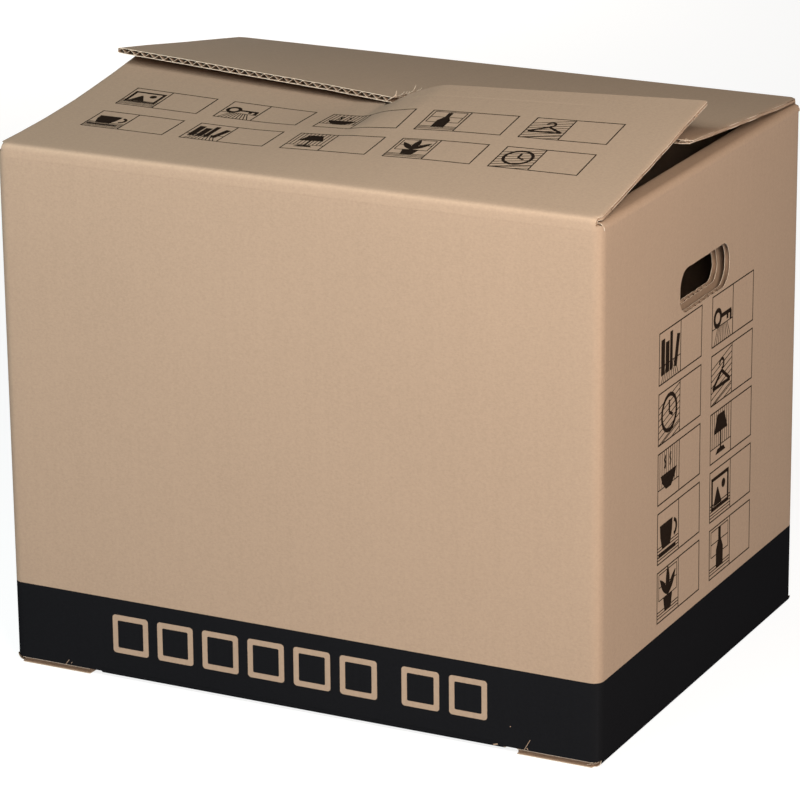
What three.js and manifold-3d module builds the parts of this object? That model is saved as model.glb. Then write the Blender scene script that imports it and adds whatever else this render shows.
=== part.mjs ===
// Moving box: one die-cut sheet of single-wall corrugated board, folded, glued at one corner and closed.
// Millimetres, +X to the right of the front wall, +Y to the back, +Z up, origin under the box's middle.
import * as THREE from "three";
import { mergeVertices } from "three/addons/utils/BufferGeometryUtils.js";
import Module from "manifold-3d";

// The space inside the four walls, which is how such a box is sold.
const insideLength = 455;
const insideWidth = 345;
const insideHeight = 380;

// The board and its folds.
const board = 4;
const liner = 0.4; // the paper on each side of the board
const medium = 0.3; // the waved paper between the liners
const flutePitch = 7.9;
const fluteDepth = 8; // how far the open ends of the flutes are cut in at a free edge
const clearance = 0.5; // air between folded panels that lie on each other
const foldRadius = 5; // outside radius of a scored fold
const cornerRadius = 8; // outside radius of the four upright corners
const cornerRise = 3.5; // how far the upright corners stand above the straight walls
const join = 3; // length over which two modelled runs of the sheet share the same board

// Top flaps. Each has a left and a right tongue with a slit between them, and the flaps hook into each
// other there: the rear flap's left tongue lies over the front flap, the front flap's right one over the rear.
const flapInset = 2; // the flap's side edge behind the side wall's outer face
const frontOverTongue = 185;
const frontUnderTongue = 200;
const rearOverTongue = 189;
const rearUnderTongue = 204;
const slitDepth = 22; // from the front flap's over-lying edge to the slit's root
const slitWidth = 10;
const tongueChamfer = 28; // width of the slanted corner of each tongue beside the slit
const wornCorner = 7; // rounding of the rear flap's crushed right corner

// Side walls: folded over at the rim and down inside, so that the grip is two boards thick. The inner
// panel leans back until its lower edge lies on the wall.
const rollWidth = 19; // across the folded rim
const innerPanelDrop = 175; // from the rim to the inner panel's lower edge
const gripLength = 88;
const gripHeight = 32;
const gripCornerRadius = 13;
const gripCentreHeight = 300;
const gripMargin = 2; // the inner panel's hole is smaller all round by this

// Bottom: the side flaps lie lowest, and the front and rear flaps fold in over them.
const sideBottomFlap = 172;
const shoulderReach = 62; // length of the side flap's full-width part
const shoulderStep = 45; // how far each shoulder steps in to the side flap's tongue
const longFlapSideInset = 72; // the front and rear flaps are narrower than their wall by this at each end
const creaseLift = 1.8; // height of the front and rear bottom creases above the floor
const riseRun = 36; // length over which those flaps climb onto the side flaps
const middleGap = 2; // between the front and rear bottom flaps at the middle

// The glued lap inside the rear left corner.
const lapWidth = 35;
const lapInsetBelow = 24;
const lapInsetAbove = 40;

const outerLength = insideLength + 2 * board;
const outerWidth = insideWidth + 2 * board;
const rim = insideHeight + 2 * board;
const sideRim = rim - board - clearance;
const wallFoot = board + clearance;
const wallTop = sideRim - foldRadius;
const middleRadius = foldRadius - board / 2;

const wasm = await Module();
wasm.setup();

// A closed three.js geometry as a manifold-3d solid, with its faces turned outwards.
function solid(geometry) {
  const bare = geometry.clone();
  bare.deleteAttribute("normal");
  bare.deleteAttribute("uv");
  const merged = mergeVertices(bare, 1e-4);
  const triVerts = new Uint32Array(merged.index.array);
  const vertProperties = merged.attributes.position.array;
  const made = new wasm.Manifold(new wasm.Mesh({ numProp: 3, vertProperties, triVerts }));
  if (made.volume() > 0) return made;
  for (let i = 0; i < triVerts.length; i += 3) {
    [triVerts[i + 1], triVerts[i + 2]] = [triVerts[i + 2], triVerts[i + 1]];
  }
  return new wasm.Manifold(new wasm.Mesh({ numProp: 3, vertProperties, triVerts }));
}

// The middle line of a folded strip of board, seen along the fold. It starts at [inward, up], with a heading
// in degrees from the inward direction. Each move goes on for a length while it turns by some degrees.
function foldLine(start, heading, moves) {
  let [inward, up] = start;
  let angle = THREE.MathUtils.degToRad(heading);
  const points = [{ inward, up, angle }];
  for (const { length, turn = 0, steps = 1 } of moves) {
    const half = THREE.MathUtils.degToRad(turn) / steps / 2;
    for (let i = 0; i < steps; i++) {
      angle += half;
      inward += (Math.cos(angle) * length) / steps;
      up += (Math.sin(angle) * length) / steps;
      angle += half;
      points.push({ inward, up, angle });
    }
  }
  return points;
}

// One scored fold of the board's middle line.
const fold = (turn) => ({
  length: Math.abs(THREE.MathUtils.degToRad(turn)) * middleRadius,
  turn,
  steps: 4,
});

// A panel of board: a box one cell thick whose grid is laid on the sheet's middle surface.
// lines[column] is the fold line at that column, across(row, column) its place along the fold, and
// place(inward, along, up) turns both into a point of the box.
function panel(lines, across, place) {
  const rows = lines[0].length;
  const box = new THREE.BoxGeometry(1, 1, 1, rows - 1, lines.length - 1, 1);
  const position = box.getAttribute("position");
  for (let i = 0; i < position.count; i++) {
    const row = Math.round((position.getX(i) + 0.5) * (rows - 1));
    const column = Math.round((position.getY(i) + 0.5) * (lines.length - 1));
    const offset = position.getZ(i) * board;
    const { inward, up, angle } = lines[column][row];
    const out = place(
      inward - Math.sin(angle) * offset,
      across(row, column),
      up + Math.cos(angle) * offset,
    );
    position.setXYZ(i, out.x, out.y, out.z);
  }
  return solid(box);
}

// Points measured inwards from the front wall (side -1) or the rear wall (side 1), and from a side wall.
const fromLongWall = (side) => (inward, along, up) =>
  new THREE.Vector3(along, side * (outerWidth / 2 - inward), up);
const fromSideWall = (side) => (inward, along, up) =>
  new THREE.Vector3(side * (outerLength / 2 - inward), along, up);

// The value at x on a line through [x, value] points.
function interpolate(points, x) {
  const next = Math.max(1, points.findIndex(([at]) => at >= x));
  const [x0, v0] = points[next - 1];
  const [x1, v1] = points[next];
  return v0 + ((v1 - v0) * (x - x0)) / (x1 - x0);
}

// A rectangle with rounded corners about its centre, as a Shape or as the Path of a hole.
function roundedRectangle(outline, width, height, radius) {
  const right = width / 2 - radius;
  const top = height / 2 - radius;
  outline.absarc(right, top, radius, 0, Math.PI / 2);
  outline.absarc(-right, top, radius, Math.PI / 2, Math.PI);
  outline.absarc(-right, -top, radius, Math.PI, 1.5 * Math.PI);
  outline.absarc(right, -top, radius, 1.5 * Math.PI, 2 * Math.PI);
  outline.closePath();
  return outline;
}

// A box about the Z axis between two heights.
function block(length, width, from, to) {
  return solid(new THREE.BoxGeometry(length, width, to - from).translate(0, 0, (from + to) / 2));
}

// The four walls as one ring of board with rounded corners, which stand a little above the folds beside them.
function walls() {
  const ring = roundedRectangle(new THREE.Shape(), outerLength, outerWidth, cornerRadius);
  ring.holes.push(
    roundedRectangle(new THREE.Path(), insideLength, insideWidth, cornerRadius - board),
  );
  const depth = wallTop + cornerRise - wallFoot;
  const geometry = new THREE.ExtrudeGeometry(ring, { depth, bevelEnabled: false, curveSegments: 6 });
  const above = wallTop + 2 * cornerRise;
  return solid(geometry.translate(0, 0, wallFoot))
    .subtract(block(outerLength - 2 * cornerRadius, 2 * outerWidth, wallTop, above))
    .subtract(block(2 * outerLength, outerWidth - 2 * cornerRadius, wallTop, above));
}

// The cutter of one hollow at a free edge, between the waved medium and the liner on its upper (1) or
// lower (-1) side. frame places it: X along the edge, Y out of the board's upper face, Z into the board.
function fluteHollow(upper, frame) {
  const shape = new THREE.Shape();
  const high = board / 2 - liner;
  const halfBase = flutePitch / 2 - 2 * medium;
  shape.moveTo(-halfBase, upper * high);
  shape.lineTo(halfBase, upper * high);
  shape.lineTo(0, -upper * (high - 2 * medium));
  shape.closePath();
  const geometry = new THREE.ExtrudeGeometry(shape, { depth: fluteDepth + board, bevelEnabled: false });
  return solid(geometry.translate(0, 0, -board).applyMatrix4(frame));
}

// The hollows along a flap's free edge, two to a flute, where the edge runs straight.
function fluteHollows(side, outline, lineAt) {
  const reach = outerLength / 2 - flapInset - flutePitch / 2;
  const place = fromLongWall(side);
  const hollows = [];
  for (let half = 0; half * flutePitch < 2 * outerLength; half++) {
    const x = ((half + 0.5) * flutePitch) / 2 - outerLength / 2;
    const slant = [-1, 1].map((end) => interpolate(outline, x + (end * flutePitch) / 2));
    if (Math.abs(x) > reach || Math.abs(slant[1] - slant[0]) > liner) continue;
    const { inward, up, angle } = lineAt(x).at(-1);
    const into = new THREE.Vector3(0, side * Math.cos(angle), -Math.sin(angle));
    const along = new THREE.Vector3(1, 0, 0);
    const above = new THREE.Vector3(0, side * Math.sin(angle), Math.cos(angle));
    const frame = new THREE.Matrix4().makeBasis(along, above, into);
    frame.setPosition(place(inward, x, up));
    hollows.push(fluteHollow(half % 2 ? 1 : -1, frame));
  }
  return hollows;
}

// A top flap with its fold. outline holds [x, length], lifts [x, degrees above level, degrees of bow].
function topFlap(side, outline, lifts) {
  const xs = [...new Set([...outline, ...lifts].map(([x]) => x))].sort((a, b) => a - b);
  const foldRows = 5;
  const bows = lifts.map(([x, , degrees]) => [x, degrees]);
  const lineAt = (x) => {
    const bow = interpolate(bows, x);
    const level = interpolate(lifts, x) - bow / 2;
    return foldLine([board / 2, wallTop - join], 90, [
      { length: rim - foldRadius - wallTop + join },
      fold(level - 90),
      { length: interpolate(outline, x) - foldRadius, turn: bow, steps: 5 },
    ]);
  };
  const halfFlap = outerLength / 2 - flapInset;
  const creaseShare = (outerLength / 2 - foldRadius) / halfFlap;
  const across = (row, column) => xs[column] * (row <= foldRows ? creaseShare : 1);
  const flap = panel(xs.map(lineAt), across, fromLongWall(side));
  return flap.subtract(wasm.Manifold.union(fluteHollows(side, outline, lineAt)));
}

function frontFlap() {
  const edge = outerLength / 2 - flapInset;
  const root = frontOverTongue - slitDepth;
  const outline = [
    [-edge, frontUnderTongue],
    [-slitWidth - tongueChamfer, frontUnderTongue],
    [-slitWidth - 2, frontOverTongue - slitWidth],
    [-slitWidth, root],
    [-2, root],
    [4, frontOverTongue - slitDepth / 2],
    [12, frontOverTongue - slitDepth / 4],
    [tongueChamfer, frontOverTongue],
    [edge, frontOverTongue],
  ];
  return topFlap(-1, outline, [
    [-edge, 4.6, 5],
    [-slitWidth - tongueChamfer, 3.5, 2],
    [-slitWidth - 2, 4.1, 1],
    [4, 7.8, 0],
    [tongueChamfer, 9.1, 0],
    [edge, 11.9, 0],
  ]);
}

function rearFlap() {
  const edge = outerLength / 2 - flapInset;
  const root = rearOverTongue - slitDepth;
  const outline = [
    [-edge, rearOverTongue],
    [-5, rearOverTongue],
    [-3.5, root],
    [slitWidth - 4, root],
    [slitWidth + 4, rearOverTongue - slitWidth],
    [slitWidth + tongueChamfer, rearUnderTongue],
    [edge - wornCorner, rearUnderTongue],
    [edge - wornCorner / 3, rearUnderTongue - wornCorner / 3],
    [edge, rearUnderTongue - wornCorner],
  ];
  return topFlap(1, outline, [
    [-edge, 9.8, -1],
    [-tongueChamfer * 2, 6.8, 0],
    [0, 5.5, 0],
    [edge, 4.7, 1],
  ]);
}

// The end of a side wall that folds over at the rim and hangs down inside, with its own grip hole.
function rolledRim(side) {
  const lean = Math.atan2(rollWidth - 2 * board - clearance, innerPanelDrop);
  const line = foldLine([board / 2, wallTop - join], 90, [
    { length: join },
    fold(-90),
    { length: rollWidth - 2 * foldRadius },
    fold(-90 - THREE.MathUtils.radToDeg(lean)),
    { length: innerPanelDrop - foldRadius },
  ]);
  const halfFold = outerWidth / 2 - board - clearance;
  const halfPanel = halfFold - board;
  const foldRows = 6;
  const across = (row, column) => (column ? 1 : -1) * (row <= foldRows ? halfFold : halfPanel);
  return panel([line, line], across, fromSideWall(side));
}

// A grip hole's cutter, from one distance inside the wall's outer face to another.
function gripCutter(side, margin, from, to) {
  const shape = roundedRectangle(
    new THREE.Shape(),
    gripLength - 2 * margin,
    gripHeight - 2 * margin,
    gripCornerRadius - margin,
  );
  const depth = to - from;
  const geometry = new THREE.ExtrudeGeometry(shape, { depth, bevelEnabled: false, curveSegments: 5 });
  geometry.rotateX(Math.PI / 2);
  geometry.rotateZ(Math.PI / 2);
  const centre = side * (outerLength / 2 - (from + to) / 2) - depth / 2;
  return solid(geometry.translate(centre, 0, gripCentreHeight));
}

function sideBottom(side) {
  const tongueRows = 1.5;
  const line = foldLine([board / 2, wallFoot + foldRadius + join], -90, [
    { length: wallFoot + join },
    fold(90),
    { length: shoulderReach - foldRadius },
    { length: tongueRows },
    { length: sideBottomFlap - shoulderReach - tongueRows },
  ]);
  const crease = outerWidth / 2 - cornerRadius / 2;
  const full = outerWidth / 2 - 1;
  const tongue = full - shoulderStep;
  const foldRows = 5;
  const halfWidth = (row) => {
    if (row <= foldRows) return crease;
    return row === foldRows + 1 ? full : tongue;
  };
  return panel([line, line], (row, column) => (column ? 1 : -1) * halfWidth(row), fromSideWall(side));
}

function longBottom(side) {
  const climb = THREE.MathUtils.radToDeg(Math.asin((board + clearance - creaseLift) / riseRun));
  const line = foldLine([board / 2, wallFoot + foldRadius + join], -90, [
    { length: wallFoot + join - creaseLift },
    fold(90),
    { length: riseRun / 2, turn: 2 * climb },
    { length: riseRun / 2, turn: -2 * climb },
    { length: outerWidth / 2 - middleGap / 2 - foldRadius - riseRun },
  ]);
  const half = outerLength / 2 - longFlapSideInset;
  return panel([line, line], (row, column) => (column ? half : -half), fromLongWall(side));
}

// The left wall's glue flap, stuck flat inside the rear wall.
function gluedLap() {
  const height = rim - lapInsetBelow - lapInsetAbove;
  const lap = new THREE.BoxGeometry(lapWidth + board / 2, board + board / 2, height);
  lap.translate(
    -outerLength / 2 + board / 2 + (lapWidth + board / 2) / 2,
    outerWidth / 2 - board / 2 - (board + board / 2) / 2,
    lapInsetBelow + height / 2,
  );
  return solid(lap);
}

function carton() {
  let sheet = walls().add(frontFlap()).add(rearFlap()).add(gluedLap());
  for (const side of [-1, 1]) {
    const innerHole = gripCutter(side, gripMargin, board + clearance, rollWidth + board);
    const outerHole = gripCutter(side, 0, -board, board + clearance);
    sheet = sheet.add(rolledRim(side).subtract(innerHole)).subtract(outerHole);
    sheet = sheet.add(sideBottom(side)).add(longBottom(side));
  }
  return sheet;
}

// A manifold-3d solid as a named mesh.
function mesh(name, made, material) {
  const { vertProperties, triVerts } = made.getMesh();
  const geometry = new THREE.BufferGeometry();
  geometry.setAttribute("position", new THREE.BufferAttribute(vertProperties, 3));
  geometry.setIndex(new THREE.BufferAttribute(triVerts, 1));
  geometry.computeVertexNormals();
  const named = new THREE.Mesh(geometry, material);
  named.name = name;
  return named;
}

const kraft = new THREE.MeshStandardMaterial({ color: 0xbda590, roughness: 0.85, metalness: 0 });

const box = new THREE.Group();
box.add(mesh("carton", carton(), kraft));

export default box;
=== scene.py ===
"""A moving box of corrugated board, folded shut, with its print, its cut edges and its wear."""

import math

import bmesh
import bpy
import numpy as np
from mathutils import Matrix, Vector


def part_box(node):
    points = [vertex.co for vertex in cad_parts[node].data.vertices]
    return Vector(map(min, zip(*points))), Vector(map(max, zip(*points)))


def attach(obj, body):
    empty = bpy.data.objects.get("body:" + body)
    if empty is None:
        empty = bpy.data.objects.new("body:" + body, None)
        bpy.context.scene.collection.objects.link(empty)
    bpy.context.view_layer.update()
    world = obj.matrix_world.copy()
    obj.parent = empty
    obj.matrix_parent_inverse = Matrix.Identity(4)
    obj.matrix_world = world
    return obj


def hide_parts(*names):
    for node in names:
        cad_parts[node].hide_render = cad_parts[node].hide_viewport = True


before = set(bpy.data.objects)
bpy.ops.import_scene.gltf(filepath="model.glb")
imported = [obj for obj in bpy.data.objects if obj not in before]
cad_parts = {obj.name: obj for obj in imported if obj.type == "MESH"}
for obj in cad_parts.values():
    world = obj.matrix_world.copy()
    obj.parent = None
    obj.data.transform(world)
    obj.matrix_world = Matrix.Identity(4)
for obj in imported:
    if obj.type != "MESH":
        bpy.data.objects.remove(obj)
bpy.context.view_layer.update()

# Camera: a long lens a little above the box, turned towards its front right corner.
view_azimuth = math.radians(26.905)
view_elevation = math.radians(18.394)
view_roll = math.radians(0.593)
view_distance = 3.0003
view_aim = Vector((-0.00294, -0.00669, 0.18005))

toward_camera = Vector(
    (
        math.sin(view_azimuth) * math.cos(view_elevation),
        -math.cos(view_azimuth) * math.cos(view_elevation),
        math.sin(view_elevation),
    )
)
level_right = Vector((0, 0, 1)).cross(toward_camera).normalized()
level_up = toward_camera.cross(level_right)
right = math.cos(view_roll) * level_right - math.sin(view_roll) * level_up
up = toward_camera.cross(right)

camera_data = bpy.data.cameras.new("camera")
camera_data.sensor_width = 36.0
camera_data.lens = 186.85
camera_data.clip_end = 20.0
camera = bpy.data.objects.new("camera", camera_data)
bpy.context.scene.collection.objects.link(camera)
camera.matrix_world = Matrix.Translation(view_aim + view_distance * toward_camera) @ (
    Matrix((right, up, toward_camera)).transposed().to_4x4()
)
bpy.context.scene.camera = camera

# The board. Single-wall corrugated board: two kraft liners with a waved medium glued between them.
# Every panel below is one sheet of it, cut from the same flat blank, whose flutes run up the walls.
# Blank coordinates, in metres: u runs round the four walls from the front left corner, v is the height.
board = 0.004
liner = 0.0004
medium = 0.0003
flute_pitch = 0.0079
clearance = 0.0005
fold_radius = 0.005
corner_radius = 0.008
middle_radius = fold_radius - board / 2

box_low, box_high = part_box("carton")
length = box_high.x - box_low.x
width = box_high.y - box_low.y
rim = 0.388
side_rim = rim - board - clearance
wall_foot = board + clearance
wall_top = side_rim - fold_radius

# Places of the finishes in a piece's list of materials.
OUTER, INNER, CUT, INK = range(4)


def strips(loops, closed):
    """Quads between index rows that follow each other, wrapped round at the end where closed."""
    after = np.roll(loops, -1, axis=1)
    quads = np.stack([loops[:-1], after[:-1], after[1:], loops[1:]], axis=-1)
    if not closed:
        quads = quads[:, :-1]
    return quads.reshape(-1, 4)


def boundary(rows, columns):
    """Row and column numbers of a grid's rim, once round, from its first corner."""
    along = np.arange(columns)
    down = np.arange(rows)
    row = np.concatenate([0 * along, down[1:], 0 * along[1:] + rows - 1, down[-2:0:-1]])
    column = np.concatenate([along, 0 * down[1:] + columns - 1, along[-2::-1], 0 * down[-2:0:-1]])
    return row, column


def board_shell(
    middle, normal, blank, finish=OUTER, stretch_and_highlight=0.0, squeeze=1.0, recess=(0.3, 14.0, 0.7), ring=False
):
    """One panel of board as a closed shell.

    The liners lie half a board either side of the middle grid, along its normal, and closer together
    where a squeeze below 1 crushes the board. Round the cut rim the shell turns in by one liner, runs
    back by the recess (millimetres at the first row, the last row and the sides), crosses to the other
    liner and comes out again, so that the two liners stand proud of the medium. A ring has such a rim at
    its top and bottom only. Where the board carries on from another panel, its rim keeps the finish of the
    row beside it. The lightening, from 0 to 1, is partly liner stretched by a fold and partly painted
    highlight.
    """
    rows, columns, _ = middle.shape
    number = np.arange(rows * columns).reshape(rows, columns)
    half = board / 2 * np.broadcast_to(squeeze, (rows, columns))[..., None]
    stretch_and_highlight_share = np.broadcast_to(stretch_and_highlight, (rows, columns))
    points = [(middle + normal * half).reshape(-1, 3), (middle - normal * half).reshape(-1, 3)]
    flat = [blank.reshape(-1, 2)] * 2
    stretch_and_highlight_parts = [stretch_and_highlight_share.reshape(-1)] * 2
    quads = [strips(number, ring), strips(number, ring)[:, ::-1] + rows * columns]
    cells = len(quads[0])
    cell_finish = np.broadcast_to(finish, (rows - 1, columns if ring else columns - 1))
    finishes = [cell_finish.reshape(-1), np.full(cells, INNER)]
    joined = cell_finish[0, 0]
    if ring:
        every = np.arange(columns)
        rims = [(0 * every, every, recess[0] + 0.0 * every, joined + 0 * every)]
        rims.append((0 * every + rows - 1, every[::-1], recess[1] + 0.0 * every, OUTER + 0 * every))
    else:
        row, column = boundary(rows, columns)
        at_side = (column == 0) | (column == columns - 1)
        depth = np.where(at_side, recess[2], recess[1])
        rims = [(row, column, np.where(row == 0, recess[0], depth), np.where(row == 0, joined, CUT))]
    start = 2 * rows * columns
    for row, column, depth, rim_finish in rims:
        edge = middle[row, column]
        across = normal[row, column] * (half[row, column] - liner)
        inner_column = column if ring else np.clip(column, 1, columns - 2)
        inward = middle[np.clip(row, 1, rows - 2), inner_column] - edge
        inward /= np.linalg.norm(inward, axis=-1, keepdims=True)
        back = edge + inward * depth[:, None] / 1000
        points += [edge + across, back + across, back - across, edge - across]
        flat += [blank[row, column]] * 4
        stretch_and_highlight_parts += [0 * depth] * 4
        count = len(row)
        loop = start + np.arange(4 * count).reshape(4, count)
        loops = np.vstack([number[row, column], loop, number[row, column] + rows * columns])
        quads.append(strips(loops, True)[:, ::-1])
        finishes += [rim_finish, np.full(3 * count, INNER), rim_finish]
        start += 4 * count
    return tuple(np.concatenate(part) for part in (points, flat, quads, finishes, stretch_and_highlight_parts))


def bar_shell(corners, blank, finish):
    """A closed bar with a four-cornered section: corners is (4, stations, 3), blank its (stations, 2).

    finish is one number, or one for each side. The two ends have the last side's.
    """
    count = corners.shape[1]
    number = np.arange(4 * count).reshape(4, count)
    quads = strips(np.vstack([number, number[:1]]), False)
    ends = np.stack([number[::-1, 0], number[:, -1]])
    quads = np.concatenate([quads, ends])
    finishes = np.repeat(np.broadcast_to(finish, 4), count - 1)
    finishes = np.append(finishes, finishes[[-1, -1]])
    points = corners.reshape(-1, 3)
    return points, np.tile(blank, (4, 1)), quads, finishes, np.zeros(len(points))


def flute_shell(edge, normal, inward, u, start=0.0003, depth=0.0135):
    """The waved medium behind a cut edge.

    Its height is a sine drawn out to a zigzag, the arcsine of nearly the sine, one wave to a flute pitch.
    """
    sharpness = 0.96
    zigzag = np.arcsin(sharpness * np.sin(2 * np.pi * u / flute_pitch)) / np.arcsin(sharpness)
    wave = edge + normal * ((board / 2 - liner - medium / 2) * zigzag)[:, None]
    section = [(medium / 2, start), (medium / 2, depth), (-medium / 2, depth), (-medium / 2, start)]
    corners = np.stack([wave + normal * across + inward * along for across, along in section])
    return bar_shell(corners, np.stack([u, 0 * u], axis=-1), (INNER, INNER, INNER, CUT))


def board_piece(name, shells, materials, replaces=True):
    """Shells as one object, blank coordinates as UV map, fold lightening (partly painted highlight), sharp
    cut edges.
    """
    offset = 0
    points, flat, quads, finish, stretch_and_highlight = [], [], [], [], []
    for shell in shells:
        points.append(shell[0])
        flat.append(shell[1])
        quads.append(shell[2] + offset)
        finish.append(shell[3])
        stretch_and_highlight.append(shell[4])
        offset += len(shell[0])
    mesh = bpy.data.meshes.new(name)
    mesh.from_pydata(np.concatenate(points).tolist(), [], np.concatenate(quads).tolist())
    mesh.polygons.foreach_set("material_index", np.concatenate(finish).astype(np.int32))
    corner = np.zeros(len(mesh.loops), np.int32)
    mesh.loops.foreach_get("vertex_index", corner)
    uv = mesh.uv_layers.new(name="blank")
    uv.data.foreach_set("uv", np.concatenate(flat)[corner].ravel())
    stretch_and_highlight_share = mesh.attributes.new("stretch_and_highlight", "FLOAT", "POINT")
    stretch_and_highlight_share.data.foreach_set("value", np.concatenate(stretch_and_highlight).astype(np.float32))
    for material in materials:
        mesh.materials.append(material)
    whole = bmesh.new()
    whole.from_mesh(mesh)
    bmesh.ops.recalc_face_normals(whole, faces=whole.faces)
    whole.to_mesh(mesh)
    whole.free()
    mesh.polygons.foreach_set("use_smooth", np.ones(len(mesh.polygons), bool))
    mesh.set_sharp_from_angle(angle=math.radians(35))
    mesh.update()
    piece = bpy.data.objects.new(name, mesh)
    bpy.context.scene.collection.objects.link(piece)
    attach(piece, "root")
    if replaces:
        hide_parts("carton")
    return piece


# Finishes. Brown kraft liner with a fine grain, fibres and a faint washboard from the flutes under it, in the
# bump and as painted shade, lightened along folds by stretched liner and painted highlight; the plain liner
# inside, the pale torn fibres of a cut edge, and the matt black ink of the printed band.
def node_maker(material):
    """A short way to add nodes to a material."""
    tree = material.node_tree

    def add(kind, inputs=(), **settings):
        """A node of this kind. An input that is another node's socket is linked, any other is a value."""
        node = tree.nodes.new(kind)
        for name, value in settings.items():
            setattr(node, name, value)
        for name, value in dict(inputs).items():
            if isinstance(value, bpy.types.NodeSocket):
                tree.links.new(value, node.inputs[name])
            else:
                node.inputs[name].default_value = value
        return node

    return add


def shade(red, green, blue):
    """An sRGB colour, 0 to 255, as linear values with alpha."""
    values = [c / 255 for c in (red, green, blue)]
    linear = [c / 12.92 if c <= 0.04045 else ((c + 0.055) / 1.055) ** 2.4 for c in values]
    return (*linear, 1.0)


def kraft_finish(name, base, contrast=0.075, stretch_and_highlight_gain=0.22, gloss=0.08, roughness=0.9):
    """Board liner. Its tone is a weighted sum of clouds, grain, fibres, streaks and flutes, and its bump one
    of fibres, grain and flutes, about a tenth of a millimetre high.

    The tone runs from the base colour less the contrast to the base colour and the contrast. Its flute term
    is painted shade of the washboard. Along folds, scored corners and the groove the paper is lighter, up to
    the gain where the share is 1: partly stretched liner, partly painted highlight.
    """
    material = bpy.data.materials.new(name)
    material.use_nodes = True
    material.node_tree.nodes.clear()
    add = node_maker(material)
    blank = add("ShaderNodeUVMap", uv_map="blank").outputs["UV"]
    place = add("ShaderNodeTexCoord").outputs["Object"]
    split = add("ShaderNodeSeparateXYZ", {"Vector": blank}).outputs

    def noise(vector, scale, detail, roughness):
        """Noise from 0 to 1, read at a vector times the scale."""
        settings = {"Vector": vector, "Scale": scale, "Detail": detail, "Roughness": roughness}
        return add("ShaderNodeTexNoise", settings).outputs["Fac"]

    def weighted(value, weight, total=0.0):
        """The value times its weight, added to the total so far."""
        inputs = {0: value, 1: weight, 2: total}
        return add("ShaderNodeMath", inputs, operation="MULTIPLY_ADD").outputs[0]

    cloud = noise(place, 7.0, 2.0, 0.5)
    grain = noise(place, 520.0, 3.0, 0.6)
    drawn_out = add("ShaderNodeMapping", {"Vector": blank, "Scale": (300.0, 1300.0, 1.0)}).outputs["Vector"]
    fibre = noise(drawn_out, 1.0, 3.0, 0.65)
    streak_place = add("ShaderNodeMapping", {"Vector": blank, "Scale": (120.0, 9.0, 1.0)}).outputs["Vector"]
    streak = noise(streak_place, 1.0, 2.0, 0.5)
    phase = weighted(split["X"], 2 * math.pi / flute_pitch)
    flute = add("ShaderNodeMath", {0: phase}, operation="SINE").outputs[0]

    tone = weighted(cloud, 0.12)
    tone = weighted(grain, 0.45, tone)
    tone = weighted(fibre, 0.35, tone)
    tone = weighted(streak, 0.08, tone)
    # Painted shade of the washboard: the tone rises and falls with the flutes, whose relief is also in the
    # bump.
    tone = weighted(flute, 0.006, tone)
    ramp = add("ShaderNodeValToRGB", {"Fac": tone})
    ends = zip(ramp.color_ramp.elements, (0.36, 0.64), (1 - contrast, 1 + contrast))
    for element, position, share in ends:
        element.position = position
        element.color = (*(share * c for c in base[:3]), 1.0)
    # Lighter along folds, scored corners and the groove: partly the liner stretched there, partly painted
    # highlight.
    stretch_and_highlight_share = add("ShaderNodeAttribute", attribute_name="stretch_and_highlight").outputs["Fac"]
    lighter = weighted(stretch_and_highlight_share, stretch_and_highlight_gain, 1.0)
    toned = {"Vector": ramp.outputs["Color"], "Scale": lighter}
    colour = add("ShaderNodeVectorMath", toned, operation="SCALE")

    height = weighted(fibre, 0.00006)
    height = weighted(grain, 0.00008, height)
    height = weighted(flute, 0.000012, height)
    bump = add("ShaderNodeBump", {"Height": height, "Strength": 0.8, "Distance": 1.0})
    surface = add(
        "ShaderNodeBsdfPrincipled",
        {
            "Base Color": colour.outputs["Vector"],
            "Roughness": roughness,
            "Normal": bump.outputs["Normal"],
            "Specular IOR Level": gloss,
        },
    )
    add("ShaderNodeOutputMaterial", {"Surface": surface.outputs["BSDF"]})
    return material


kraft_outer = kraft_finish("kraft_outer", shade(153, 130, 111))
kraft_inner = kraft_finish("kraft_inner", shade(148, 124, 105))
cut_board = kraft_finish("cut_board", shade(201, 183, 165), contrast=0.22)
band_ink = kraft_finish("band_ink", shade(22, 22, 24), stretch_and_highlight_gain=0.6, gloss=0.0, roughness=0.9)
board_finishes = [kraft_outer, kraft_inner, cut_board, band_ink]

# Walls. The four walls are one strip of board with soft scored corners, glued at the rear left corner.
# The printed black band runs round their foot, and each side wall has a punched grip hole.
band_top = 0.062
wall_columns = 44
corner_columns = 8
corner_rise = 0.0035
top_strip = 0.012
panel_dip = 0.0008
ink_room = 0.00015
grip_length = 0.088
grip_height = 0.032
grip_corner = 0.013
grip_centre = 0.300
grip_margin = 0.002
grip_offset = 0.0018
grip_hollow = 0.010
grip_hollow_ends = 0.003


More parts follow.
